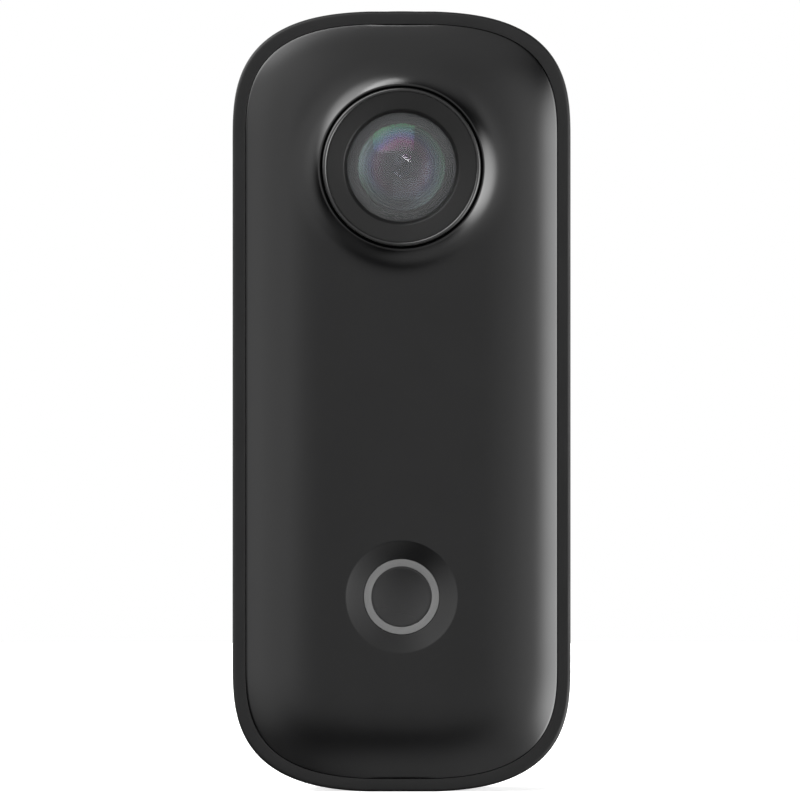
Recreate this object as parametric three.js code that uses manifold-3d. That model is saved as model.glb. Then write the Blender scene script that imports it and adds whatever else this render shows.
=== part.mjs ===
// Thumb-size action camera: a tall rounded case with a crowned front panel, a lens in a raised collar,
// a ring-lit shutter button, a mode button on top, and a hinged port door and magnetic plate behind.
// Millimetres, +Z up, front towards -Y, origin on the base at the middle of the footprint.
import * as THREE from "three";
import { mergeVertices } from "three/addons/utils/BufferGeometryUtils.js";
import Module from "manifold-3d";

const wasm = await Module();
wasm.setup();

// ---------------------------------------------------------------- driving dimensions
const WIDTH = 26; // across the case
const HEIGHT = 60; // top of the case above its base
const END_RISE = 10; // height of each rounded end
const SQUARENESS = 2.95; // exponent of the superellipse ends
const FLAT = 5; // flat at the middle of each end, which the camera stands on
const OUTLINE_STEPS = 12; // facets in a quarter of an end

const BEZEL_FRONT = -9.5; // frontmost plane
const BACK = 9.5; // rearmost plane, the magnetic plate's face
const RIM_FRONT = -7.4; // front edge of the case
const PARTING = 4; // case_body ends here and rear_cover begins
const COVER_BACK = 9.4; // flat back of the cover and the door
const EDGE_RADIUS = 3.8; // rounding of the cover's rear edge
const WALL = 1.2; // side wall
const RIM = 1; // visible edge of the case round the panel
const GAP = 0.08; // between fixed neighbours
const SEAM = 0.1; // between a moving piece and its opening

const PANEL_INNER = -6.3; // back of the front panel
const PANEL_EDGE = -7.45; // front of the panel at its edge
const CROWN = 0.9; // how far the panel's middle stands in front of its edge
const CROWN_RUN = 7; // width over which the panel curves up
const CROWN_POWER = 2.4;

const LENS_Z = 48;
const COLLAR_HOLE = 6.2; // radius of the hole in the panel
const COLLAR_CREST = -8.95;
const BEZEL_RADIUS = 5.98;
const GLASS_RADIUS = 4.2; // visible part of the front element

const SHUTTER_Z = 15;
const DISH_RADIUS = 4.3;
const DISH_DEPTH = 0.7;
const RING_OUTER = 2.9;
const RING_INNER = 2.3;

const BOARD_FRONT = -3.2;
const BOARD_BACK = -2.4;

const HINGE = { y: 8.2, z: 7.6, barrel: 1.15, pin: 0.5, groove: 1.3, pinEnd: 9.2 };
const BAY = { halfWidth: 7.3, low: 9.4, high: 25.2, floor: 3.75, wall: 0.65 };
const DOOR = { halfWidth: 8.3, low: 8.9, high: 27.5, inner: 8.1, corner: 2.4, hingeCorner: 0.4 };
const NAIL_NOTCH = { halfWidth: 3.4, high: 29.1, depth: 8.35 }; // hollow above the door's free edge
const CORNER_SCREWS = { x: 9.4, low: 6.4, high: HEIGHT - 6.4 };
const PLATE = { halfWidth: 7.2, low: 30.5, high: 53.5, corner: 3.5, inner: 8.9 };
const MAGNETS_Z = [36.2, 47.8];

// ---------------------------------------------------------------- materials
const material = (color, roughness, metalness = 0) =>
  new THREE.MeshStandardMaterial({ color, roughness, metalness });
const gloss = material(0x2a2a2b, 0.3);
const matte = material(0x262627, 0.6);
const anodised = material(0x1e1e1f, 0.4, 0.6);
const lightRing = material(0x868686, 0.5);
const steel = material(0x9a9b9d, 0.35, 1);
const glass = material(0x3c3f46, 0.05);
const rubber = material(0x151515, 0.85);
const board = material(0x14382a, 0.55);
const chip = material(0x17181a, 0.5);
const foil = material(0x8f9296, 0.4, 0.8);
const amber = material(0x9a5a1c, 0.5);
const redRubber = material(0x8a1512, 0.6);
const white = material(0xc9c9c4, 0.6);

// ---------------------------------------------------------------- solids
function toSolid(geometry) {
  const bare = geometry.clone();
  bare.deleteAttribute("normal");
  bare.deleteAttribute("uv");
  const merged = mergeVertices(bare, 1e-4);
  return new wasm.Manifold(
    new wasm.Mesh({
      numProp: 3,
      vertProperties: new Float32Array(merged.attributes.position.array),
      triVerts: new Uint32Array(merged.index.array),
    }),
  );
}

function toGeometry(solid) {
  const mesh = solid.getMesh();
  const geometry = new THREE.BufferGeometry();
  geometry.setAttribute("position", new THREE.BufferAttribute(new Float32Array(mesh.vertProperties), 3));
  geometry.setIndex(new THREE.BufferAttribute(new Uint32Array(mesh.triVerts), 1));
  geometry.computeVertexNormals();
  return geometry;
}

const join = (...parts) => toGeometry(parts.map(toSolid).reduce((whole, part) => whole.add(part)));
const cut = (body, ...tools) =>
  toGeometry(tools.map(toSolid).reduce((rest, tool) => rest.subtract(tool), toSolid(body)));

// The camera's outline seen from the front, inset all round: straight sides and superellipse ends.
function outline(inset) {
  const a = WIDTH / 2 - inset;
  const b = END_RISE - inset;
  const power = 2 / SQUARENESS;
  const stop = Math.acos((FLAT / 2 / a) ** (1 / power));
  const quarter = Array.from({ length: OUTLINE_STEPS + 1 }, (_, i) => {
    const t = (stop * i) / OUTLINE_STEPS;
    return [a * Math.cos(t) ** power, b * (Math.sin(t) / Math.sin(stop)) ** power];
  });
  const mirrored = [...quarter].reverse();
  const top = HEIGHT - END_RISE;
  return [
    ...quarter.map(([x, rise]) => new THREE.Vector2(x, top + rise)),
    ...mirrored.map(([x, rise]) => new THREE.Vector2(-x, top + rise)),
    ...quarter.map(([x, rise]) => new THREE.Vector2(-x, END_RISE - rise)),
    ...mirrored.map(([x, rise]) => new THREE.Vector2(x, END_RISE - rise)),
  ];
}

// A closed solid through outlines given as [y, inset], from front to back.
function loft(sections) {
  const rings = sections.map(([y, inset]) => outline(inset).map((p) => [p.x, y, p.y]));
  const count = rings[0].length;
  const frontCentre = rings.length * count;
  const backCentre = frontCentre + 1;
  const middle = HEIGHT / 2;
  const points = [...rings.flat(), [0, sections[0][0], middle], [0, sections.at(-1)[0], middle]];
  const index = [];
  for (let i = 0; i < count; i++) {
    const next = (i + 1) % count;
    const back = (rings.length - 1) * count;
    index.push(frontCentre, i, next, backCentre, back + next, back + i);
    for (let a = i, b = next; a < back; a += count, b += count)
      index.push(a, a + count, b, b, a + count, b + count);
  }
  const geometry = new THREE.BufferGeometry();
  geometry.setAttribute("position", new THREE.Float32BufferAttribute(points.flat(), 3));
  geometry.setIndex(index);
  return geometry;
}

// A shape drawn in x and z, made solid from y0 to y1.
const slab = (shape, y0, y1) =>
  new THREE.ExtrudeGeometry(shape, { depth: y1 - y0, bevelEnabled: false, curveSegments: 4 })
    .rotateX(Math.PI / 2)
    .translate(0, y1, 0);

function roundedRectangle(x0, x1, z0, z1, radius, lowRadius = radius) {
  const shape = new THREE.Shape();
  shape.absarc(x1 - lowRadius, z0 + lowRadius, lowRadius, -Math.PI / 2, 0);
  shape.absarc(x1 - radius, z1 - radius, radius, 0, Math.PI / 2);
  shape.absarc(x0 + radius, z1 - radius, radius, Math.PI / 2, Math.PI);
  shape.absarc(x0 + lowRadius, z0 + lowRadius, lowRadius, Math.PI, Math.PI * 1.5);
  shape.closePath();
  return shape;
}

// A shape drawn in y and z, made solid from x0 to x1.
const sideways = (points, x0, x1) =>
  new THREE.ExtrudeGeometry(new THREE.Shape(points.map(([y, z]) => new THREE.Vector2(y, z))),
    { depth: x1 - x0, bevelEnabled: false })
    .rotateX(Math.PI / 2)
    .rotateZ(Math.PI / 2)
    .translate(x0, 0, 0);

const box = (x0, x1, y0, y1, z0, z1) =>
  new THREE.BoxGeometry(x1 - x0, y1 - y0, z1 - z0).translate((x0 + x1) / 2, (y0 + y1) / 2, (z0 + z1) / 2);
const disc = (radius, y0, y1, x, z, sides = 20) =>
  new THREE.CylinderGeometry(radius, radius, y1 - y0, sides).translate(x, (y0 + y1) / 2, z);
const rodAlongX = (radius, x0, x1, y, z, sides = 12) =>
  new THREE.CylinderGeometry(radius, radius, x1 - x0, sides)
    .rotateZ(Math.PI / 2)
    .translate((x0 + x1) / 2, y, z);
const rodAlongZ = (radius, z0, z1, x, y, sides = 12) =>
  new THREE.CylinderGeometry(radius, radius, z1 - z0, sides)
    .rotateX(Math.PI / 2)
    .translate(x, y, (z0 + z1) / 2);

// A turned piece: its profile is a list of [radius, y] round an axis along Y at height z.
const turned = (profile, z, sides = 32) =>
  new THREE.LatheGeometry(profile.map(([r, y]) => new THREE.Vector2(r, y)), sides).translate(0, 0, z);
const turnedRing = (profile, z, sides) => turned([...profile, profile[0]], z, sides);

// A pill lying along Y, made solid from z0 to z1.
function pill(width, length, y, z0, z1) {
  const radius = width / 2;
  const reach = (length - width) / 2;
  const shape = new THREE.Shape();
  shape.absarc(0, y + reach, radius, 0, Math.PI);
  shape.absarc(0, y - reach, radius, Math.PI, 2 * Math.PI);
  shape.closePath();
  return new THREE.ExtrudeGeometry(shape, { depth: z1 - z0, bevelEnabled: false, curveSegments: 8 })
    .translate(0, 0, z0);
}

// ---------------------------------------------------------------- assembly
const camera = new THREE.Group();
function add(name, geometry, look) {
  const mesh = new THREE.Mesh(geometry, look);
  mesh.name = name;
  camera.add(mesh);
}

// Every corner of a rectangle of half width x between heights low and high.
const corners = ({ x, low, high }) => [[-x, low], [x, low], [-x, high], [x, high]];

// ---------------------------------------------------------------- case
const MODE = { width: 2.8, length: 5.2, y: -1.3, proud: 0.12, inside: HEIGHT - WALL };
const BOARD_SCREWS = { x: 9.4, z: 9.6 };
const TAB = { front: 0.8, back: 2.2, radius: 2.4 };
const LEDGE = { front: -6, back: -4.8, inset: 2 };
const SPEAKER_HOLES = [-1.6, 0, 1.6];
const MIC = { y: -3.75, z: 32 };

function caseBody() {
  const outer = loft([[RIM_FRONT, 0.3], [RIM_FRONT + 0.1, 0.09], [RIM_FRONT + 0.3, 0],
    [PARTING - 0.12, 0], [PARTING, 0.12]]);
  const shell = cut(
    outer,
    loft([[RIM_FRONT - 1, RIM], [LEDGE.front, RIM]]),
    loft([[LEDGE.front - 1, LEDGE.inset], [LEDGE.back + 1, LEDGE.inset]]),
    loft([[LEDGE.back, WALL], [PARTING + 1, WALL]]),
  );
  const tabs = corners(CORNER_SCREWS).map(([x, z]) => disc(TAB.radius, TAB.front, TAB.back, x, z, 16));
  const shelves = [-1, 1].map((side) =>
    box(...[side * 8.1, side * 12.1].sort((a, b) => a - b), BOARD_BACK + GAP, -1.1, 8, 11.2));
  const screwHoles = corners(CORNER_SCREWS).map(([x, z]) => disc(0.85, 0, 3, x, z, 10));
  const pilotHoles = [-1, 1].map((side) =>
    disc(0.5, BOARD_BACK - 0.2, -1, side * BOARD_SCREWS.x, BOARD_SCREWS.z, 8));
  return cut(
    toGeometry(toSolid(join(shell, ...tabs, ...shelves)).intersect(toSolid(outer))),
    ...screwHoles,
    ...pilotHoles,
    pill(MODE.width + 2 * SEAM, MODE.length + 2 * SEAM, MODE.y, MODE.inside - 1, HEIGHT + 1),
    rodAlongX(0.45, WIDTH / 2 - 2, WIDTH / 2 + 1, MIC.y, MIC.z, 10),
    ...SPEAKER_HOLES.map((x) => rodAlongZ(0.4, -1, 2, x, 0.4, 8)),
  );
}

// ---------------------------------------------------------------- rear cover, with the port bay
const CARD = { halfWidth: 5.5, front: 4.7, back: 5.4, low: 24.2, high: 39.2 };
const PORT = { halfWidth: 4.47, halfHeight: 1.63, z: 14.5 };

function rearCover() {
  const arc = [0, 18, 36, 54, 72, 90].map((degrees) => THREE.MathUtils.degToRad(degrees));
  const start = COVER_BACK - EDGE_RADIUS;
  const outer = loft([
    [PARTING + GAP, 0.12],
    [PARTING + 0.2, 0],
    ...arc.map((t) => [start + EDGE_RADIUS * Math.sin(t), EDGE_RADIUS * (1 - Math.cos(t))]),
  ]);
  const innerRadius = EDGE_RADIUS - 1.3;
  const hollow = loft([
    [PARTING - 1, 1.3],
    ...arc.filter((_, i) => i % 2 === 0 || i === 5)
      .map((t) => [start + innerRadius * Math.sin(t), 1.3 + innerRadius * (1 - Math.cos(t))]),
  ]);
  const lip = cut(
    loft([[2.4, 1.3], [PARTING + 0.6, 1.3]]),
    loft([[2, 2.1], [PARTING + 1, 2.1]]),
  );
  const bosses = corners(CORNER_SCREWS).map(([x, z]) => disc(1.9, TAB.back + SEAM, 8.3, x, z, 16));
  const bayBlock = slab(roundedRectangle(-BAY.halfWidth - BAY.wall, BAY.halfWidth + BAY.wall,
    BAY.low - BAY.wall, BAY.high + BAY.wall, 1.6), BAY.floor - BAY.wall, 8.5);
  const shelf = slab(roundedRectangle(-9.5, 9.5, 5.2, 29.6, 2), 6.6, 8.5);
  const magnetSeats = MAGNETS_Z.map((z) => disc(6, 6.5, 8.5, 0, z, 24));
  const body = toSolid(join(cut(outer, hollow), lip, ...bosses, bayBlock, shelf, ...magnetSeats));
  const envelope = toSolid(join(outer, loft([[2.3, 1.3], [PARTING + 1, 1.3]])));
  const knuckle = join(
    rodAlongX(HINGE.barrel, -3, 3, HINGE.y, HINGE.z, 16),
    box(-3, 3, 6.7, HINGE.y, HINGE.z - HINGE.groove - 0.2, HINGE.z),
  );
  const recessed = cut(
    toGeometry(body.intersect(envelope)),
    slab(roundedRectangle(-BAY.halfWidth, BAY.halfWidth, BAY.low, BAY.high, 1), BAY.floor, 10),
    slab(roundedRectangle(-DOOR.halfWidth - SEAM, DOOR.halfWidth + SEAM, DOOR.low - SEAM,
      DOOR.high + SEAM, DOOR.corner), DOOR.inner - SEAM, 10),
    box(-DOOR.halfWidth - SEAM, DOOR.halfWidth + SEAM, HINGE.y - HINGE.groove, 10,
      HINGE.z - HINGE.groove, DOOR.low + DOOR.corner),
    slab(roundedRectangle(-PLATE.halfWidth - GAP, PLATE.halfWidth + GAP, PLATE.low - GAP,
      PLATE.high + GAP, PLATE.corner), PLATE.inner - 0.05, 10),
    ...MAGNETS_Z.map((z) => disc(5.1, 7.2, 9.2, 0, z, 24)),
  );
  return cut(
    join(recessed, knuckle),
    ...corners(CORNER_SCREWS).map(([x, z]) => disc(0.75, 2, 7, x, z, 10)),
    rodAlongX(HINGE.pin + GAP, -HINGE.pinEnd - SEAM, HINGE.pinEnd + SEAM, HINGE.y, HINGE.z, 12),
    slab(roundedRectangle(-PORT.halfWidth - SEAM, PORT.halfWidth + SEAM, PORT.z - PORT.halfHeight - SEAM,
      PORT.z + PORT.halfHeight + SEAM, 1.7), 3, 5),
    box(-CARD.halfWidth - 0.25, CARD.halfWidth + 0.25, CARD.front - 0.2, CARD.back + 0.3,
      BAY.high - 0.5, BAY.high + 2),
    slab(roundedRectangle(-NAIL_NOTCH.halfWidth, NAIL_NOTCH.halfWidth, DOOR.high - 2, NAIL_NOTCH.high,
      1.2), NAIL_NOTCH.depth, 10),
  );
}

// ---------------------------------------------------------------- front panel
const panelFront = (run) => PANEL_EDGE - CROWN * (1 - (1 - run / CROWN_RUN) ** CROWN_POWER);
const PANEL_FACE = PANEL_EDGE - CROWN; // the flat middle of the panel
const dishFront = (radius) => PANEL_FACE + DISH_DEPTH * (1 - (radius / DISH_RADIUS) ** 2);

function frontPanel() {
  const edge = RIM + GAP;
  const runs = [0, 0.7, 1.7, 3, 4.8, CROWN_RUN];
  const plate = loft([
    ...runs.map((run) => [panelFront(run), edge + run]).reverse(),
    [PANEL_INNER, edge],
  ]);
  const collar = turnedRing([[5, COLLAR_CREST], [6.35, COLLAR_CREST], [6.6, -8.82], [7, -8.62],
    [7.6, -8.42], [8.3, -8.2], [8.3, PANEL_INNER], [5, PANEL_INNER]], LENS_Z, 40);
  const dish = turned([[0, -12], [DISH_RADIUS, -12], [DISH_RADIUS, dishFront(DISH_RADIUS)],
    [3.4, dishFront(3.4)], [2.4, dishFront(2.4)], [0, dishFront(0)]], SHUTTER_Z, 32);
  return cut(
    join(plate, collar),
    disc(COLLAR_HOLE, -10, -5, 0, LENS_Z, 40),
    disc(7.3, -6.95, -5, 0, LENS_Z, 32),
    dish,
    disc(RING_OUTER + SEAM, -10, -5, 0, SHUTTER_Z, 32),
  );
}

function shellPieces() {
  add("case_body", caseBody(), matte);
  add("rear_cover", rearCover(), matte);
  add("front_panel", frontPanel(), gloss);
  const band = (y0, y1, outer, inner) =>
    cut(loft([[y0, outer], [y1, outer]]), loft([[y0 - 1, inner], [y1 + 1, inner]]));
  add("panel_gasket", band(PANEL_INNER + 0.04, LEDGE.front - 0.04, RIM + 0.2, LEDGE.inset), rubber);
  add("case_gasket", band(PARTING - 0.9, PARTING - 0.2, WALL + 0.02, 1.28), rubber);
  corners(CORNER_SCREWS).forEach(([x, z], i) => {
    const head = disc(1.4, -0.1, TAB.front - 0.02, x, z, 16);
    const shank = disc(0.7, TAB.front - 0.1, 6.6, x, z, 10);
    const socket = disc(0.5, -1, 0.35, x, z, 6);
    add("case_screw_" + (i + 1), cut(join(head, shank), socket), steel);
  });
  add("rear_plate", slab(roundedRectangle(-PLATE.halfWidth, PLATE.halfWidth, PLATE.low, PLATE.high,
    PLATE.corner), PLATE.inner, BACK), steel);
  MAGNETS_Z.forEach((z, i) => {
    add(["magnet_lower", "magnet_upper"][i], disc(5, 7.25, 8.8, 0, z, 24), steel);
  });
}

// ---------------------------------------------------------------- lens
function lensPieces() {
  add("lens_bezel", turnedRing([[GLASS_RADIUS, -8.75], [4.95, -9.4], [5.1, BEZEL_FRONT],
    [5.72, BEZEL_FRONT], [BEZEL_RADIUS, -9.24], [BEZEL_RADIUS, -6.24], [7.2, -6.24], [7.2, -5.6],
    [4.95, -5.6], [4.95, -8.56], [GLASS_RADIUS, -8.62]], LENS_Z, 40), anodised);
  const seal = Array.from({ length: 8 }, (_, i) => {
    const t = (2 * Math.PI * i) / 8;
    return [6.65 + 0.28 * Math.cos(t), -6.6 + 0.28 * Math.sin(t)];
  });
  add("lens_seal_ring", turnedRing(seal, LENS_Z, 32), rubber);
  // The front element is a meniscus: a wide dome in front and a deep hollow behind.
  add("front_element", turned([[0, -9.02], [1.6, -8.95], [3, -8.77], [4.2, -8.52], [4.7, -8.4],
    [4.7, -7.7], [3.3, -7.7], [2.6, -8.15], [1.4, -8.45], [0, -8.55]], LENS_Z), glass);
  add("lens_barrel", turnedRing([[3.5, -7.62], [4.85, -7.62], [4.85, -5.1], [4, -5.1], [4, -1],
    [2.2, -1], [2.2, -1.4], [2.75, -1.4], [2.75, -5.2], [3.5, -5.6]], LENS_Z), anodised);
  add("second_element", turned([[0, -7.1], [2, -7.35], [3.4, -7.5], [3.4, -6.3], [2, -6.5],
    [0, -6.75]], LENS_Z, 24), glass);
  add("aperture_stop", turnedRing([[0.9, -5.45], [2.7, -5.15], [2.7, -4.95], [0.9, -5.25]],
    LENS_Z, 24), anodised);
  add("third_element", turned([[0, -4.75], [1.4, -4.6], [2.7, -4.2], [2.7, -3.5], [1.4, -3.2],
    [0, -3.1]], LENS_Z, 24), glass);
  add("rear_element", turned([[0, -2.8], [2.7, -2.55], [2.7, -1.5], [0, -1.85]], LENS_Z, 24),
    glass);
  const holder = cut(
    join(disc(5.1, -4.6, 0, 0, LENS_Z, 24), box(-6.2, 6.2, -0.9, 1.7, LENS_Z - 6.2, LENS_Z + 6.2)),
    disc(4.08, -6, -0.85, 0, LENS_Z, 24),
    box(-3.2, 3.2, -2, 0.35, LENS_Z - 3.2, LENS_Z + 3.2),
    box(-4, 4, 0.3, 3, LENS_Z - 4, LENS_Z + 4),
  );
  add("lens_holder", holder, matte);
  add("ir_filter", box(-3.1, 3.1, -0.1, 0.2, LENS_Z - 3.1, LENS_Z + 3.1), glass);
  add("image_sensor", box(-3.6, 3.6, 0.7, 1.7, LENS_Z - 3.6, LENS_Z + 3.6), chip);
  add("sensor_board", box(-6.5, 6.5, 1.75, 2.45, LENS_Z - 6.5, LENS_Z + 6.5), board);
  const run = [[1.7, 41.6], [1.7, 40.8], [1.2, 40.3], [-1.7, 40.3], [-2.2, 39.8], [-2.2, 36.6]];
  const thick = 0.12;
  const ribbon = [...run, ...[...run].reverse().map(([y, z]) => [y - thick, z + thick])];
  add("sensor_flex", sideways(ribbon, -2.5, 2.5), amber);
}

// ---------------------------------------------------------------- buttons
const SHUTTER_STOP = -5.62; // back of the light ring's flange

function shutterPieces() {
  const z = SHUTTER_Z;
  const cap = RING_INNER - 0.04;
  add("shutter_cap", turned([[0, dishFront(0)], [1.2, dishFront(1.2)], [cap, dishFront(cap)],
    [cap, SHUTTER_STOP], [0, SHUTTER_STOP]], z, 28), gloss);
  add("shutter_light_ring", turnedRing([[RING_INNER, dishFront(RING_INNER)],
    [RING_OUTER, dishFront(RING_OUTER)], [RING_OUTER, PANEL_INNER + 0.05], [3.6, PANEL_INNER + 0.05],
    [3.6, SHUTTER_STOP], [RING_INNER, SHUTTER_STOP]], z, 28), lightRing);
  add("shutter_carrier", turned([[0, SHUTTER_STOP + 0.02], [3.6, SHUTTER_STOP + 0.02], [3.6, -5.15],
    [0.9, -5.15], [0.9, -4.66], [0, -4.66]], z, 24), matte);
  add("shutter_plunger", disc(0.8, -4.64, -3.95, 0, z, 12), white);
  add("shutter_switch", cut(box(-2.25, 2.25, -4.25, BOARD_FRONT - 0.02, z - 2.25, z + 2.25),
    disc(0.95, -5, BOARD_FRONT - 0.25, 0, z, 12)), steel);
  add("shutter_seal", turnedRing([[3.72, -6.26], [4.5, -6.26], [4.5, -5.5], [3.72, -5.5]],
    z, 28), rubber);
  [["ring_led_left", -3.4], ["ring_led_right", 3.4]].forEach(([name, x]) => {
    add(name, box(x - 0.5, x + 0.5, -3.9, BOARD_FRONT - 0.02, z - 0.8, z + 0.8), white);
  });
}

function modePieces() {
  const { width, length, y, proud, inside } = MODE;
  add("mode_cap", join(
    pill(width, length, y, inside - 0.3, HEIGHT + proud),
    pill(width + 1.4, length + 1.4, y, inside - 0.7, inside - 0.04),
    rodAlongZ(0.8, 57.3, inside - 0.6, 0, y),
  ), gloss);
  add("mode_plunger", rodAlongZ(0.7, 56.5, 57.28, 0, y), white);
  add("mode_switch", cut(box(-2.25, 2.25, y - 1.75, y + 1.75, 55.1, 56.9), rodAlongZ(0.85, 56, 58, 0, y)),
    steel);
  add("mode_board", box(-3.2, 3.2, y - 3.5, y + 2.1, 54.6, 55.08), board);
}

// ---------------------------------------------------------------- electronics
const BATTERY = { halfWidth: 10, front: -1.9, back: 2.9, low: 18.6, high: 39.4 };

function electronics() {
  const screwHoles = [-1, 1].map((side) => disc(0.75, -4, -2, side * BOARD_SCREWS.x, BOARD_SCREWS.z, 10));
  add("main_board", cut(slab(roundedRectangle(-10.6, 10.6, 4, 40.6, 3), BOARD_FRONT, BOARD_BACK),
    ...screwHoles), board);
  ["board_screw_left", "board_screw_right"].forEach((name, i) => {
    const x = (i ? 1 : -1) * BOARD_SCREWS.x;
    add(name, join(disc(1.2, -3.95, BOARD_FRONT - 0.02, x, BOARD_SCREWS.z, 14),
      disc(0.45, BOARD_FRONT - 0.1, -1.3, x, BOARD_SCREWS.z, 8)), steel);
  });
  const onBoard = (name, halfWidth, height, x, z, halfDepth, look) =>
    add(name, box(x - halfWidth, x + halfWidth, BOARD_FRONT - 0.02 - height, BOARD_FRONT - 0.02,
      z - halfDepth, z + halfDepth), look);
  onBoard("processor_chip", 4.8, 1.1, -3.4, 31, 4.8, chip);
  onBoard("memory_chip", 3.4, 0.9, 5.6, 36, 2.6, chip);
  onBoard("wireless_shield", 4.2, 1.4, -5, 22.4, 2.7, steel);
  onBoard("power_inductor", 1.6, 1.5, 5, 24.5, 1.6, chip);
  onBoard("microphone", 1.4, 1, 8.9, MIC.z - 2, 1.9, steel);
  add("battery_pad", box(-8, 8, BOARD_BACK + 0.1, BATTERY.front - 0.05, 20, 35.5), rubber);
  add("wireless_antenna", box(-11.7, -11.55, -4, 1.5, 22, 39), amber);
  add("battery", slab(roundedRectangle(-BATTERY.halfWidth, BATTERY.halfWidth, BATTERY.low,
    BATTERY.high, 0.8), BATTERY.front, BATTERY.back), foil);
  const plug = { x: 7.6, z: 15.4 };
  add("battery_connector", box(plug.x - 1.8, plug.x + 1.8, BOARD_BACK + 0.02, -0.9, plug.z - 2.6, plug.z),
    white);
  [["battery_lead_red", -0.8, redRubber], ["battery_lead_black", 0.8, rubber]].forEach(([name, dx, look]) => {
    const path = new THREE.CatmullRomCurve3([
      new THREE.Vector3(plug.x + dx, -1.6, plug.z + 0.05),
      new THREE.Vector3(plug.x + dx, -1.5, plug.z + 1),
      new THREE.Vector3(plug.x + dx, -0.4, plug.z + 2.2),
      new THREE.Vector3(plug.x + dx, 0, BATTERY.low - 0.05),
    ]);
    const section = new THREE.Shape(Array.from({ length: 8 }, (_, i) =>
      new THREE.Vector2(0.4 * Math.cos((Math.PI * i) / 4), 0.4 * Math.sin((Math.PI * i) / 4))));
    add(name, new THREE.ExtrudeGeometry(section, { steps: 6, extrudePath: path }), look);
  });
  add("speaker", slab(roundedRectangle(-5, 5, 1.5, 6.2, 1), -1.9, 2.1), chip);
}

// ---------------------------------------------------------------- ports and memory card
function portPieces() {
  const { halfWidth, halfHeight, z } = PORT;
  const shellShape = (grow) => roundedRectangle(-halfWidth - grow, halfWidth + grow,
    z - halfHeight - grow, z + halfHeight + grow, halfHeight + grow - 0.01);
  add("charge_port_shell", cut(slab(shellShape(0), BOARD_BACK + 0.02, BAY.floor), slab(shellShape(-0.3), -1.6, 5)),
    steel);
  add("charge_port_tongue", box(-3.35, 3.35, -1.55, BAY.floor - 0.9, z - 0.35, z + 0.35), chip);
  add("port_board", box(-7.6, 7.6, 3.3, 4, 26.4, 40.6), board);
  add("card_slot", cut(box(-6.3, 6.3, 4.03, 5.95, 26.3, 40),
    box(-CARD.halfWidth - 0.15, CARD.halfWidth + 0.15, CARD.front - 0.1, CARD.back + 0.1, 26, 39.4)), steel);
  add("memory_card", slab(roundedRectangle(-CARD.halfWidth, CARD.halfWidth, CARD.low, CARD.high, 0.7),
    CARD.front, CARD.back), chip);
}

// ---------------------------------------------------------------- port door
function doorPieces() {
  const { halfWidth, low, high, inner, corner, hingeCorner } = DOOR;
  const plate = slab(roundedRectangle(-halfWidth, halfWidth, low, high, corner, hingeCorner), inner,
    COVER_BACK);
  const knuckles = [-1, 1].flatMap((side) => {
    const [x0, x1] = [side * 3.1, side * halfWidth].sort((a, b) => a - b);
    return [
      rodAlongX(HINGE.barrel, x0, x1, HINGE.y, HINGE.z, 16),
      box(x0, x1, inner, HINGE.y + HINGE.barrel, HINGE.z, low + 1),
    ];
  });
  add("port_door", cut(join(plate, ...knuckles),
    rodAlongX(HINGE.pin + GAP, -halfWidth - 1, halfWidth + 1, HINGE.y, HINGE.z, 12)), matte);
  const frame = (grow) => roundedRectangle(-BAY.halfWidth + 0.15 + grow, BAY.halfWidth - 0.15 - grow,
    BAY.low + 0.2 + grow, BAY.high - 0.15 - grow, 1.2);
  add("door_gasket", cut(slab(frame(0), 7.3, inner - 0.02), slab(frame(0.9), 7, 9)), rubber);
  add("door_hinge_pin", rodAlongX(HINGE.pin, -HINGE.pinEnd, HINGE.pinEnd, HINGE.y, HINGE.z), steel);
}

shellPieces();
lensPieces();
shutterPieces();
modePieces();
electronics();
portPieces();
doorPieces();

export default camera;
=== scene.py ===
"""Looks of the thumb-size action camera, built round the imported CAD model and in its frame: +Z up and
the lens towards -Y. Lengths are in millimetres until a mesh is made, and metres from there on."""
import math

import bmesh
import bpy
import numpy as np
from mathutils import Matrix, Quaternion, Vector
from mathutils.geometry import delaunay_2d_cdt


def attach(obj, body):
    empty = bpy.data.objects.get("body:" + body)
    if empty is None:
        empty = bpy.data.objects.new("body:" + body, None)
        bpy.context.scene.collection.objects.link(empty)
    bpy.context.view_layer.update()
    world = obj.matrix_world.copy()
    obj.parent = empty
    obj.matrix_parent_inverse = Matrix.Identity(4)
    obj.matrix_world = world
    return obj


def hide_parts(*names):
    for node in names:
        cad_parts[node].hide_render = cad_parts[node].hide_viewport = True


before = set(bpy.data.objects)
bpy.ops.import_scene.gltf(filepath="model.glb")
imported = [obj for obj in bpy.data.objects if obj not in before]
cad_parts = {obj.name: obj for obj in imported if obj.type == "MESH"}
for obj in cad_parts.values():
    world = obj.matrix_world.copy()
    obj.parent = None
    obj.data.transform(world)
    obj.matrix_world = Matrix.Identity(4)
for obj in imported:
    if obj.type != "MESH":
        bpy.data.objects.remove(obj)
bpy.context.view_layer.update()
MM = 0.001

# ------------------------------------------------------------------ dimensions
WIDTH, HEIGHT, END_RISE = 26.0, 60.0, 10.0
SQUARENESS = 2.95          # exponent of the superellipse ends
END_FLAT = 2.5             # half the flat at the middle of each end
RIM_FRONT, PARTING, BACK = -7.4, 4.0, 9.4
LENS_Z, SHUTTER_Z = 48.0, 15.0
GAP = 0.08                 # between pieces that are fitted together
SEAM = 0.1                 # clearance round the mode button, the door, the port and the pin's ends
RIM_WIDTH, WALL = 1.0, 1.2
LEDGE_FRONT, LEDGE_BACK, LEDGE_INSET = -6.0, -4.8, 2.0
SCREW_X, SCREW_RISE = 9.4, 6.4             # the case screws, from the middle and from each end
BOARD_SCREW_Z = 9.6
MIC_Y, MIC_Z, MIC_HOLE = -3.75, 32, 0.45
SOUND_HOLES_X, SOUND_HOLES_Y, SOUND_HOLE = (-1.6, 0, 1.6), 0.4, 0.4
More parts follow.
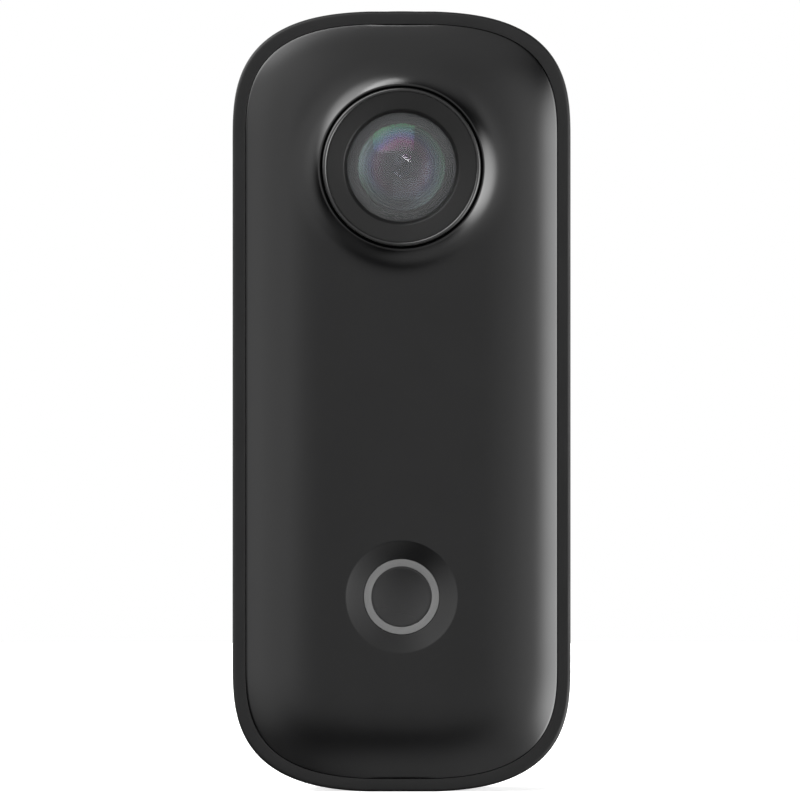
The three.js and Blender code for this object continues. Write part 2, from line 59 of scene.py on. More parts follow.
COVER_LIP, COVER_LIP_INSET = 2.4, 1.3

PANEL_EDGE, PANEL_BACK, PANEL_INSET = -7.45, -6.3, 1.03
CROWN, CROWN_RUN, CROWN_POWER, END_WIDENING = 0.9, 6.8, 3.0, 0.3
PANEL_FACE = PANEL_EDGE - CROWN
COLLAR_HOLE, COLLAR_CREST, COLLAR_WIDTH, COLLAR_POWER = 6.17, -8.84, 2.6, 3.2
COLLAR_RIM, COLLAR_START = 6.32, 6.38      # where the collar's top ends inwards, and starts to fall outwards
SEAL_SEAT, SEAL_SEAT_FRONT = 7.3, -6.95    # the rebate in the panel's back for the lens's seal ring
DISH_RADIUS, DISH_DEPTH, DISH_HOLE = 4.3, 0.46, 2.93
RING_OUTER, RING_INNER, RING_FLANGE = 2.89, 2.33, 3.6
SHUTTER_STOP = -5.62       # back of the light ring's flange

GLASS_RADIUS = 4.2
BEZEL_RADIUS, BEAD_RADIUS, BEAD_Y = 6.08, 0.16, -9.34
FRONT_POLE, FRONT_SAG, FRONT_FLANGE = -9.02, 0.5, -7.7
HOLLOW_RADIUS, HOLLOW_POLE, HOLLOW_SAG = 3.3, -8.3, 0.28

EDGE_RADIUS, INNER_EDGE_RADIUS = 3.8, 2.5
MODE_WIDTH, MODE_LENGTH, MODE_Y, MODE_RISE = 2.8, 5.2, -1.3, 0.12
HINGE_Y, HINGE_Z = 8.2, 7.6
KNUCKLE_RADIUS, KNUCKLE_HALF = 1.15, 3     # the cover's knuckle, between the door's two
PIN_RADIUS, PIN_BORE, PIN_HALF = 0.5, 0.58, 9.2
DOOR_HALF, DOOR_LOW, DOOR_HIGH, DOOR_CORNER, DOOR_INNER = 8.3, 8.9, 27.5, 2.4, 8.1
BAY_HALF, BAY_LOW, BAY_HIGH, BAY_FLOOR = 7.3, 9.4, 25.2, 3.75
PORT_Z, PORT_HALF_WIDTH, PORT_HALF_HEIGHT = 14.5, 4.47, 1.63
TONGUE_HALF = 0.35
CONTACTS, CONTACTS_START, CONTACT_PITCH = 12, -2.75, 0.5   # on each side of the port's tongue
CARD_FRONT, CARD_BACK = 4.7, 5.4
PLATE_HALF, PLATE_LOW, PLATE_HIGH, PLATE_CORNER, PLATE_INNER = 7.2, 30.5, 53.5, 3.5, 8.9
MAGNETS_Z, MAGNET_POCKET = (36.2, 47.8), 5.1


# ------------------------------------------------------------------ shader building
def shader(name, color, roughness, metallic=0.0, **sockets):
    """A Principled material. Extra sockets are named with underscores, such as coat_weight=1."""
    mat = bpy.data.materials.new(name)
    mat.use_nodes = True
    bsdf = mat.node_tree.nodes["Principled BSDF"]
    bsdf.inputs["Base Color"].default_value = (*color, 1)
    bsdf.inputs["Roughness"].default_value = roughness
    bsdf.inputs["Metallic"].default_value = metallic
    for key, value in sockets.items():
        socket = key.replace("_", " ").title().replace("Ior", "IOR")
        bsdf.inputs[socket].default_value = value
    return mat


class Graph:
    """Short calls for adding nodes to a material."""

    def __init__(self, mat):
        self.mat = mat
        self.tree = mat.node_tree
        self.bsdf = self.tree.nodes["Principled BSDF"]
        self.coord = self.tree.nodes.new("ShaderNodeTexCoord").outputs["Object"]

    def node(self, kind, inputs=None, **settings):
        n = self.tree.nodes.new("ShaderNode" + kind.replace(" ", ""))
        for key, value in settings.items():
            setattr(n, key, value)
        for key, value in (inputs or {}).items():
            if isinstance(value, bpy.types.NodeSocket):
                self.tree.links.new(value, n.inputs[key])
            else:
                n.inputs[key].default_value = value
        return n

    def noise(self, size_mm, detail=2.0, stretch=(1, 1, 1), roughness=0.5):
        """Noise whose features are about size_mm across, drawn out by the stretch factors."""
        scale = tuple(1 / (size_mm * MM * s) for s in stretch)
        moved = self.node("Mapping", {"Vector": self.coord, "Scale": scale})
        n = self.node("TexNoise", {"Vector": moved.outputs["Vector"], "Scale": 1.0, "Detail": detail,
                                   "Roughness": roughness})
        return n.outputs["Fac"]

    def ramp(self, value, low, high, to_low=0.0, to_high=1.0):
        n = self.node("MapRange", {"Value": value, "From Min": low, "From Max": high,
                                   "To Min": to_low, "To Max": to_high})
        return n.outputs["Result"]

    def math(self, operation, a, b=0.0):
        n = self.node("Math", {0: a, 1: b}, operation=operation)
        return n.outputs["Value"]

    def mix(self, factor, a, b):
        n = self.node("Mix", {"Factor": factor, "A": a, "B": b}, data_type="RGBA")
        for socket in n.inputs:
            if socket.name == "A" and socket.type == "RGBA" and not isinstance(a, bpy.types.NodeSocket):
                socket.default_value = a
            if socket.name == "B" and socket.type == "RGBA" and not isinstance(b, bpy.types.NodeSocket):
                socket.default_value = b
        return next(s for s in n.outputs if s.type == "RGBA")

    def bump(self, height, depth_mm, strength=1.0, normal=None):
        inputs = {"Height": height, "Distance": depth_mm * MM, "Strength": strength}
        if normal is not None:
            inputs["Normal"] = normal
        return self.node("Bump", inputs).outputs["Normal"]

    def set(self, socket, value):
        self.tree.links.new(value, self.bsdf.inputs[socket])


def textured_plastic(name, color, roughness, grain_mm, depth_mm, spread=0.06, **sockets):
    """Moulded plastic: fine grain in the surface, and slow changes of roughness and colour over it."""
    mat = shader(name, color, roughness, **sockets)
    g = Graph(mat)
    grain = g.noise(grain_mm, 3.0, roughness=0.6)
    slow = g.noise(6.0, 3.0)
    g.set("Roughness", g.ramp(slow, 0.3, 0.7, roughness - spread, roughness + spread))
    darker = tuple(c * 0.86 for c in color) + (1,)
    lighter = tuple(c * 1.12 for c in color) + (1,)
    g.set("Base Color", g.mix(g.noise(2.5, 4.0), darker, lighter))
    g.set("Normal", g.bump(grain, depth_mm))
    return mat


# ------------------------------------------------------------------ outlines
def outline(inset, end_steps=48, side_steps=24):
    """Points (x, z) round the case's outline, inset all round: straight sides and superellipse ends."""
    a, b = WIDTH / 2 - inset, END_RISE - inset
    flat_rise = (1 - (END_FLAT / a) ** SQUARENESS) ** (1 / SQUARENESS)
    angle = np.linspace(0, math.pi / 2, end_steps + 1)
    reach = (np.cos(angle) ** SQUARENESS + np.sin(angle) ** SQUARENESS) ** (-1 / SQUARENESS)
    x = a * reach * np.cos(angle)
    rise = b * np.minimum(1, reach * np.sin(angle) / flat_rise)
    top = HEIGHT - END_RISE
    side = np.linspace(END_RISE, top, side_steps + 1)[1:-1]
    parts = [
        np.column_stack([x, top + rise]),
        np.column_stack([-x[::-1], top + rise[::-1]])[1:],
        np.column_stack([np.full(len(side), -a), side[::-1]]),
        np.column_stack([-x, END_RISE - rise]),
        np.column_stack([x[::-1], END_RISE - rise[::-1]])[1:],
        np.column_stack([np.full(len(side), a), side]),
    ]
    return np.vstack(parts)


def circle(radius, x=0.0, z=0.0, steps=96):
    angle = np.arange(steps) * 2 * math.pi / steps
    return np.column_stack([x + radius * np.cos(angle), z + radius * np.sin(angle)])


def rounded_rectangle(x0, x1, z0, z1, radius, low_radius=None, steps=10):
    """Points (x, z) round a rectangle with rounded corners, the lower two with a radius of their own."""
    low = radius if low_radius is None else low_radius
    points = []
    for cx, cz, r, start in ((x1 - radius, z1 - radius, radius, 0), (x0 + radius, z1 - radius, radius, 90),
                             (x0 + low, z0 + low, low, 180), (x1 - low, z0 + low, low, 270)):
        for i in range(steps + 1):
            t = math.radians(start + 90 * i / steps)
            points.append((cx + r * math.cos(t), cz + r * math.sin(t)))
    return np.array(points)


def pill(width, length, y, steps=24):
    """Points (x, y) round a slot with round ends that runs along Y."""
    radius, reach = width / 2, (length - width) / 2
    points = []
    for cy, start in ((y + reach, 0), (y - reach, 180)):
        for i in range(steps + 1):
            t = math.radians(start + 180 * i / steps)
            points.append((radius * math.cos(t), cy + radius * math.sin(t)))
    return np.array(points)


# ------------------------------------------------------------------ meshes
class Skin:
    """Rings of points joined into a surface."""

    def __init__(self):
        self.points, self.faces = [], []

    def ring(self, points):
        first = len(self.points)
        self.points.extend(tuple(map(float, p)) for p in points)
        return list(range(first, len(self.points)))

    def bridge(self, *rings):
        for a, b in zip(rings, rings[1:]):
            for i in range(len(a)):
                j = (i + 1) % len(a)
                self.faces.append((a[i], a[j], b[j], b[i]))
        return rings[-1]

    def fan(self, ring, point):
        centre = self.ring([point])[0]
        for i in range(len(ring)):
            self.faces.append((ring[i], ring[(i + 1) % len(ring)], centre))

    def fill(self, flat, rings, inside, extra=()):
        """Triangles over a flat map of the given rings, where inside(x, z) is true. flat gives a ring's
        points on the map, and extra points are (map point, 3-D point) pairs."""
        index, places, edges = [], [], []
        for ring in rings:
            first = len(places)
            index.extend(ring)
            places.extend(flat(self.points[i]) for i in ring)
            edges.extend((first + i, first + (i + 1) % len(ring)) for i in range(len(ring)))
        for place, point in extra:
            index.extend(self.ring([point]))
            places.append(place)
        verts, _, faces, origin, _, _ = delaunay_2d_cdt([Vector(p) for p in places], edges, [], 0, 1e-7)
        for face in faces:
            middle = sum((verts[i] for i in face), Vector((0, 0))) / len(face)
            if inside(middle.x, middle.y):
                self.faces.append(tuple(index[origin[i][0]] for i in face))

    def object(self, name):
        mesh = bpy.data.meshes.new(name)
        mesh.from_pydata([tuple(c * MM for c in p) for p in self.points], [], self.faces)
        bm = bmesh.new()
        bm.from_mesh(mesh)
        bmesh.ops.remove_doubles(bm, verts=bm.verts, dist=1e-7)
        bmesh.ops.recalc_face_normals(bm, faces=bm.faces)
        bm.to_mesh(mesh)
        bm.free()
        obj = bpy.data.objects.new(name, mesh)
        bpy.context.scene.collection.objects.link(obj)
        return obj


def lathe(name, profile, z, steps=128):
    """A turned piece: profile is a list of (radius, y), closed or ending on the axis."""
    skin = Skin()
    rings = []
    for r, y in profile:
        if r < 1e-6:
            rings.append(("tip", (0, y, z)))
        else:
            c = circle(r, 0, z, steps)
            rings.append(("ring", skin.ring([(px, y, pz) for px, pz in c])))
    on_axis = [kind == "tip" for kind, _ in rings]
    pairs = list(zip(rings, rings[1:]))
    if not any(on_axis):
        pairs.append((rings[-1], rings[0]))
    for (kind_a, a), (kind_b, b) in pairs:
        if kind_a == "ring" and kind_b == "ring":
            skin.bridge(a, b)
        elif kind_a == "ring":
            skin.fan(a, b)
        elif kind_b == "ring":
            skin.fan(b, a)
    return skin.object(name)


def round_profile(points, radius, steps=4):
    """A profile's corners rounded. points are (a, b), or (a, b, radius) for a corner of its own; closed."""
    out = []
    count = len(points)
    for i, p in enumerate(points):
        r = p[2] if len(p) > 2 else radius
        here = np.array(p[:2], float)
        before = np.array(points[i - 1][:2], float) - here
        after = np.array(points[(i + 1) % count][:2], float) - here
        la, lb = np.linalg.norm(before), np.linalg.norm(after)
        if r <= 0 or min(la, lb) < 1e-9:
            out.append(tuple(here))
            continue
        ua, ub = before / la, after / lb
        half = math.acos(max(-1, min(1, float(ua @ ub)))) / 2
        if half > math.radians(87):
            out.append(tuple(here))
            continue
        cut = min(r / math.tan(half), la * 0.45, lb * 0.45)
        start, end = here + ua * cut, here + ub * cut
        for k in range(steps + 1):
            t = k / steps
            out.append(tuple((1 - t) ** 2 * start + 2 * t * (1 - t) * here + t * t * end))
    return out


def prism(name, loop, low, high, axis="y", round_edge=0.0, steps=3):
    """A slab of a flat loop between two levels along an axis, with its rims rounded."""
    def place(p, level):
        return {"y": (p[0], level, p[1]), "z": (p[0], p[1], level), "x": (level, p[0], p[1])}[axis]

    def shrink(amount):
        if amount <= 0:
            return loop
        ahead, behind = np.roll(loop, -1, 0), np.roll(loop, 1, 0)
        along = ahead - behind
        along /= np.maximum(np.linalg.norm(along, axis=1, keepdims=True), 1e-9)
        area = np.sum(loop[:, 0] * ahead[:, 1] - ahead[:, 0] * loop[:, 1])
        inward = np.column_stack([-along[:, 1], along[:, 0]]) * (1 if area > 0 else -1)
        return loop + inward * amount

    skin = Skin()
    levels = [(0.0, low), (0.0, high)]
    if round_edge:
        arc = [math.radians(90 * i / steps) for i in range(steps + 1)]
        levels = [(round_edge * (1 - math.sin(t)), low + round_edge * (1 - math.cos(t))) for t in arc]
        levels += [(round_edge * (1 - math.cos(t)), high - round_edge * (1 - math.sin(t))) for t in arc]
    rings = [skin.ring([place(p, level) for p in shrink(inset)]) for inset, level in levels]
    skin.bridge(*rings)
    skin.faces.append(tuple(rings[0]))
    skin.faces.append(tuple(rings[-1]))
    return skin.object(name)


def cuboid(name, x0, x1, y0, y1, z0, z1, round_edge=0.0):
    loop = rounded_rectangle(x0, x1, z0, z1, max(round_edge, 1e-4), steps=3)
    return prism(name, loop, y0, y1, "y", round_edge)


def boolean(obj, tool, operation="DIFFERENCE"):
    """obj combined with tool, and the tool deleted."""
    mod = obj.modifiers.new("cut", "BOOLEAN")
    mod.object, mod.operation, mod.solver = tool, operation, "EXACT"
    bpy.context.view_layer.update()
    done = bpy.data.meshes.new_from_object(obj.evaluated_get(bpy.context.evaluated_depsgraph_get()))
    obj.modifiers.remove(mod)
    obj.data = done
    bpy.data.objects.remove(tool)
    return obj


def piece(obj, body, mat, replaces=(), smooth=32, bevel=0.0, weighted=True):
    """Gives a finished mesh its shading, material and body, and hides the CAD nodes it stands for."""
    mesh = obj.data
    mesh.materials.clear()
    mesh.materials.append(mat)
    mesh.shade_smooth()
    mesh.set_sharp_from_angle(angle=math.radians(smooth))
    if bevel:
        mod = obj.modifiers.new("edges", "BEVEL")
        mod.width, mod.segments, mod.limit_method = bevel * MM, 3, "ANGLE"
        mod.angle_limit = math.radians(smooth)
        mod.use_clamp_overlap = True
        mod.harden_normals = True
    elif weighted:
        mod = obj.modifiers.new("normals", "WEIGHTED_NORMAL")
        mod.keep_sharp = True
        mod.weight = 50
    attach(obj, body)
    if replaces:
        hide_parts(*replaces)
    return obj


# ------------------------------------------------------------------ materials
M = {}
M["panel"] = textured_plastic("panel_black", (0.0012, 0.0012, 0.0013), 0.19, 0.10, 0.0006, 0.015)
M["case"] = textured_plastic("case_black", (0.004, 0.004, 0.0041), 0.42, 0.12, 0.003,
                             specular_ior_level=0.25)
M["button"] = textured_plastic("button_black", (0.004, 0.004, 0.0042), 0.27, 0.10, 0.0008, 0.015)
M["bezel"] = textured_plastic("bezel_black", (0.0045, 0.0045, 0.0045), 0.5, 0.08, 0.001,
                              specular_ior_level=0.22)
M["bead"] = textured_plastic("bezel_bead", (0.01, 0.01, 0.01), 0.2, 0.08, 0.0003, 0.02)
M["ring"] = textured_plastic("ring_grey", (0.072, 0.072, 0.072), 0.45, 0.2, 0.001)
M["barrel"] = textured_plastic("barrel_black", (0.006, 0.006, 0.0063), 0.6, 0.1, 0.001)
M["rubber"] = textured_plastic("rubber_black", (0.012, 0.012, 0.012), 0.75, 0.15, 0.004)
M["board"] = textured_plastic("board_green", (0.01, 0.06, 0.03), 0.4, 0.3, 0.004)
M["chip"] = textured_plastic("chip_black", (0.014, 0.014, 0.015), 0.5, 0.1, 0.002)
M["flex"] = textured_plastic("flex_amber", (0.30, 0.13, 0.03), 0.35, 0.3, 0.002)
M["red"] = textured_plastic("lead_red", (0.3, 0.01, 0.01), 0.45, 0.2, 0.002)
M["white"] = textured_plastic("white_moulded", (0.55, 0.55, 0.52), 0.5, 0.15, 0.002)


def brushed(name, color, roughness, stretch, depth=0.001):
    mat = shader(name, color, roughness, 1.0)
    g = Graph(mat)
    lines = g.noise(0.05, 2.0, stretch)
    g.set("Roughness", g.ramp(lines, 0.3, 0.7, roughness - 0.07, roughness + 0.09))
    dark, bright = (tuple(c * share for c in color) + (1,) for share in (0.8, 1.1))
    g.set("Base Color", g.mix(lines, dark, bright))
    g.set("Normal", g.bump(lines, depth))
    return mat


M["steel"] = brushed("steel_brushed", (0.55, 0.55, 0.56), 0.32, (1, 1, 30))
M["plate"] = brushed("plate_brushed", (0.16, 0.16, 0.165), 0.38, (40, 1, 1))
M["foil"] = brushed("battery_foil", (0.5, 0.52, 0.54), 0.4, (3, 3, 3), 0.004)
M["gold"] = brushed("contact_gold", (0.85, 0.6, 0.25), 0.3, (1, 1, 6))


def glass(name, tints, haze=0.0):
    """Lens glass. tints are (radius in mm, colour) pairs: what its anti-reflection coating still sends
    back, at each distance from the lens axis. haze is the share of light that the surface scatters."""
    mat = shader(name, (0.85, 0.87, 0.88), 0.01, transmission_weight=1 - haze, ior=1.6)
    g = Graph(mat)
    axis = g.node("Vector Math", {0: g.coord, 1: (0, 0, LENS_Z * MM)}, operation="SUBTRACT")
    flat = g.node("Vector Math", {0: axis.outputs["Vector"], 1: (1, 0, 1)}, operation="MULTIPLY")
    radius = g.node("Vector Math", {0: flat.outputs["Vector"]}, operation="LENGTH").outputs["Value"]
    uneven = g.math("ADD", radius, g.ramp(g.noise(2.5), 0.3, 0.7, -0.12 * MM, 0.12 * MM))
    coating = g.node("ValToRGB", {"Fac": g.ramp(uneven, 0, GLASS_RADIUS * MM)})
    stops = coating.color_ramp.elements
    for i, (r, color) in enumerate(tints):
        stop = stops[i] if i < 2 else stops.new(r / GLASS_RADIUS)
        stop.position, stop.color = r / GLASS_RADIUS, (*color, 1)
    g.set("Specular Tint", coating.outputs["Color"])
    g.set("Roughness", g.ramp(g.noise(1.5, 2.0), 0.5, 0.85, 0.003, 0.02))
    return mat


M["glass"] = glass("lens_glass", [(0, (0.2, 0.18, 0.22)), (3.4, (0.2, 0.22, 0.26))])
M["tinted_glass"] = glass("lens_glass_tinted", [
    (0, (0.06, 0.05, 0.07)), (1.2, (0.1, 0.05, 0.1)), (1.9, (0.5, 0.12, 0.35)), (2.3, (0.26, 0.22, 0.7)),
    (2.7, (0.12, 0.4, 0.5)), (3.2, (0.12, 0.5, 0.2))])
M["hazy_glass"] = glass("lens_glass_outer", [(0, (0.14, 0.14, 0.15)), (4.2, (0.12, 0.12, 0.14))], 0.04)
M["ink"] = textured_plastic("lens_edge_ink", (0.003, 0.003, 0.003), 0.8, 0.4, 0.0002)


# ------------------------------------------------------------------ case
def shell(name, profile):
    """A closed ring-shaped shell whose profile is a list of (y, inset)."""
    skin = Skin()
    rings = [skin.ring([(x, y, z) for x, z in outline(inset)]) for y, inset in profile]
    skin.bridge(*rings, rings[0])
    return skin.object(name)


def tool_slab(loop, y0, y1):
    return prism("tool", loop, y0, y1)


def tool_disc(radius, y0, y1, x, z, steps=48):
    return prism("tool", circle(radius, x, z, steps), y0, y1)


def rod_x(name, radius, x0, x1, y, z, steps=48, round_edge=0.0):
    return prism(name, circle(radius, y, z, steps), x0, x1, "x", round_edge)


def tool_box(x0, x1, y0, y1, z0, z1):
    return prism("tool", np.array([(x1, z1), (x0, z1), (x0, z0), (x1, z0)], float), y0, y1)


def cut_pin_bore(obj):
    boolean(obj, rod_x("tool", PIN_BORE, -PIN_HALF - SEAM, PIN_HALF + SEAM, HINGE_Y, HINGE_Z, 32))


def make_case():
    obj = shell("case_shell", round_profile([
        (RIM_FRONT, RIM_WIDTH, 0.05), (RIM_FRONT, 0.0, 0.28), (RIM_FRONT + 0.6, 0.0, 0),
        (PARTING - 0.4, 0.0, 0), (PARTING, 0.0, 0.14), (PARTING, WALL, 0.03), (LEDGE_BACK, WALL, 0),
        (LEDGE_BACK, LEDGE_INSET, 0), (LEDGE_FRONT, LEDGE_INSET, 0), (LEDGE_FRONT, RIM_WIDTH, 0),
        (RIM_FRONT + 0.2, RIM_WIDTH, 0)], 0.05))
    for x in (-SCREW_X, SCREW_X):
        for z in (SCREW_RISE, HEIGHT - SCREW_RISE):
            boolean(obj, tool_disc(2.4, 0.8, 2.2, x, z), "UNION")
            boolean(obj, tool_disc(0.85, 0, 3, x, z))
        low_x, high_x = sorted(math.copysign(reach, x) for reach in (8.1, 12.1))
        boolean(obj, tool_box(low_x, high_x, -2.32, -1.1, BOARD_SCREW_Z - 1.6, BOARD_SCREW_Z + 1.6), "UNION")
        boolean(obj, tool_disc(0.5, -2.6, -1, x, BOARD_SCREW_Z))
    boolean(obj, prism("tool", pill(MODE_WIDTH + 2 * SEAM, MODE_LENGTH + 2 * SEAM, MODE_Y), 57, 61, "z"))
    boolean(obj, prism("tool", circle(MIC_HOLE, MIC_Y, MIC_Z, 32), 11, 14, "x"))
    for x in SOUND_HOLES_X:
        boolean(obj, prism("tool", circle(SOUND_HOLE, x, SOUND_HOLES_Y, 32), -1, 2, "z"))
    piece(obj, "camera", M["case"], ["case_body"], bevel=0.05)


def make_cover():
    arc = [math.radians(90 * i / 14) for i in range(15)]
    start = BACK - EDGE_RADIUS
    outside = [(start + EDGE_RADIUS * math.sin(t), EDGE_RADIUS * (1 - math.cos(t))) for t in arc]
    inside = [(start + INNER_EDGE_RADIUS * math.sin(t),
               COVER_LIP_INSET + INNER_EDGE_RADIUS * (1 - math.cos(t))) for t in arc]
    lip = [(4.6, COVER_LIP_INSET), (4.6, 2.1), (COVER_LIP, 2.1), (COVER_LIP, COVER_LIP_INSET),
           (PARTING + GAP, COVER_LIP_INSET), (PARTING + GAP, 0.14), (PARTING + 0.12, 0.05),
           (PARTING + 0.22, 0.0)]
    skin = Skin()
    rings = [skin.ring([(x, y, z) for x, z in outline(inset)]) for y, inset in inside[::-1] + lip + outside]
    skin.bridge(*rings)
    skin.faces.append(tuple(rings[0]))
    skin.faces.append(tuple(rings[-1]))
    obj = skin.object("rear_shell")
    box = rounded_rectangle
    for x in (-SCREW_X, SCREW_X):
        for z in (SCREW_RISE, HEIGHT - SCREW_RISE):
            boolean(obj, tool_disc(1.9, 2.3, 8.3, x, z), "UNION")
    boolean(obj, tool_slab(box(-7.95, 7.95, 8.75, 25.85, 1.6), 3.1, 8.5), "UNION")
    boolean(obj, tool_slab(box(-9.5, 9.5, 5.2, 29.6, 2), 6.6, 8.5), "UNION")
    for z in MAGNETS_Z:
        boolean(obj, tool_disc(6, 6.5, 8.5, 0, z), "UNION")
    boolean(obj, tool_slab(box(-BAY_HALF, BAY_HALF, BAY_LOW, BAY_HIGH, 1), BAY_FLOOR, 10))
    recess = DOOR_HALF + SEAM
    boolean(obj, tool_slab(box(-recess, recess, DOOR_LOW - SEAM, DOOR_HIGH + SEAM, DOOR_CORNER), 8.0, 10))
    boolean(obj, tool_box(-recess, recess, HINGE_Y - 1.3, 10, HINGE_Z - 1.3, DOOR_LOW + DOOR_CORNER))
    seat = PLATE_HALF + GAP
    boolean(obj, tool_slab(box(-seat, seat, PLATE_LOW - GAP, PLATE_HIGH + GAP, PLATE_CORNER), 8.85, 10))
    for z in MAGNETS_Z:
        boolean(obj, tool_disc(MAGNET_POCKET, 7.2, 9.2, 0, z))
    boolean(obj, rod_x("tool", KNUCKLE_RADIUS, -KNUCKLE_HALF, KNUCKLE_HALF, HINGE_Y, HINGE_Z), "UNION")
    boolean(obj, tool_box(-KNUCKLE_HALF, KNUCKLE_HALF, 6.7, HINGE_Y, HINGE_Z - 1.5, HINGE_Z), "UNION")
    for x in (-SCREW_X, SCREW_X):
        for z in (SCREW_RISE, HEIGHT - SCREW_RISE):
            boolean(obj, tool_disc(0.75, 2, 7, x, z, 32))
    cut_pin_bore(obj)
    reach, half = PORT_HALF_WIDTH + SEAM, PORT_HALF_HEIGHT + SEAM
    boolean(obj, tool_slab(box(-reach, reach, PORT_Z - half, PORT_Z + half, 1.7), 3, 5))
    boolean(obj, tool_box(-5.75, 5.75, 4.5, 5.7, 24.7, 27.2))
    boolean(obj, tool_slab(box(-3.4, 3.4, 25.5, 29.1, 1.2), 8.35, 10))
    piece(obj, "camera", M["case"], ["rear_cover"], bevel=0.05)


def make_door():
    obj = prism("door_plate", rounded_rectangle(-DOOR_HALF, DOOR_HALF, DOOR_LOW, DOOR_HIGH, DOOR_CORNER, 0.4),
                DOOR_INNER, BACK, "y", 0.1)
    for x0, x1 in ((-DOOR_HALF, -KNUCKLE_HALF - SEAM), (KNUCKLE_HALF + SEAM, DOOR_HALF)):
        boolean(obj, rod_x("tool", KNUCKLE_RADIUS, x0, x1, HINGE_Y, HINGE_Z), "UNION")
        boolean(obj, tool_box(x0, x1, DOOR_INNER, HINGE_Y + KNUCKLE_RADIUS, HINGE_Z, DOOR_LOW + 1), "UNION")
    cut_pin_bore(obj)
    piece(obj, "door", M["case"], ["port_door"], bevel=0.04)

    def rim(grow):
        return rounded_rectangle(-7.15 + grow, 7.15 - grow, 9.6 + grow, 25.05 - grow, 1.2 - grow * 0.5)

    skin = Skin()
    rings = []
    for y, grow in round_profile([(7.3, 0), (8.08, 0), (8.08, 0.9), (7.3, 0.9)], 0.2, 4):
        rings.append(skin.ring([(x, y, z) for x, z in rim(grow)]))
    skin.bridge(*rings, rings[0])
    piece(skin.object("door_seal"), "door", M["rubber"], ["door_gasket"])

    pin = rod_x("hinge_rod", PIN_RADIUS, -PIN_HALF, PIN_HALF, HINGE_Y, HINGE_Z, 32, 0.1)
    piece(pin, "camera", M["steel"], ["door_hinge_pin"])


def make_plate():
    loop = rounded_rectangle(-PLATE_HALF, PLATE_HALF, PLATE_LOW, PLATE_HIGH, PLATE_CORNER, steps=16)
    obj = prism("back_plate", loop, PLATE_INNER, BACK + 0.1, "y", 0.12, 5)
    piece(obj, "camera", M["plate"], ["rear_plate"])


# ------------------------------------------------------------------ front panel
def edge_run(x, z):
    """How far a point of the panel lies inside the panel's edge."""
    a, b = WIDTH / 2 - PANEL_INSET, END_RISE - PANEL_INSET
    rise = max(0.0, abs(z - HEIGHT / 2) - (HEIGHT / 2 - END_RISE))
    reach = ((abs(x) / a) ** SQUARENESS + (rise / b) ** SQUARENESS) ** (1 / SQUARENESS)
    return max(0.0, (1 - reach) * a)


def crown_run(x, z):
    """The width of the crown's curve: wider at the two ends than along the sides."""
    a, b = WIDTH / 2 - PANEL_INSET, END_RISE - PANEL_INSET
    rise = max(0.0, abs(z - HEIGHT / 2) - (HEIGHT / 2 - END_RISE))
    side, end = (abs(x) / a) ** SQUARENESS, (rise / b) ** SQUARENESS
    return CROWN_RUN * (1 + END_WIDENING * end / max(side + end, 1e-9))


def dish(r):
    return DISH_DEPTH * (1 - (r / DISH_RADIUS) ** 2)


def panel_y(x, z):
    """The panel's front surface: a crowned plate, the raised collar round the lens and the dish."""
    share = min(edge_run(x, z) / crown_run(x, z), 1)
    y = PANEL_EDGE - CROWN * (1 - (1 - share) ** CROWN_POWER)
    t = (math.hypot(x, z - LENS_Z) - COLLAR_START) / COLLAR_WIDTH
    if t < 1:
        y -= (PANEL_FACE - COLLAR_CREST) * (1 - max(t, 0)) ** COLLAR_POWER
    r = math.hypot(x, z - SHUTTER_Z)
    if r < DISH_RADIUS + 0.1:
        y += dish(min(r, DISH_RADIUS)) * min(1.0, (DISH_RADIUS + 0.05 - min(r, DISH_RADIUS + 0.05)) / 0.1)
    return y


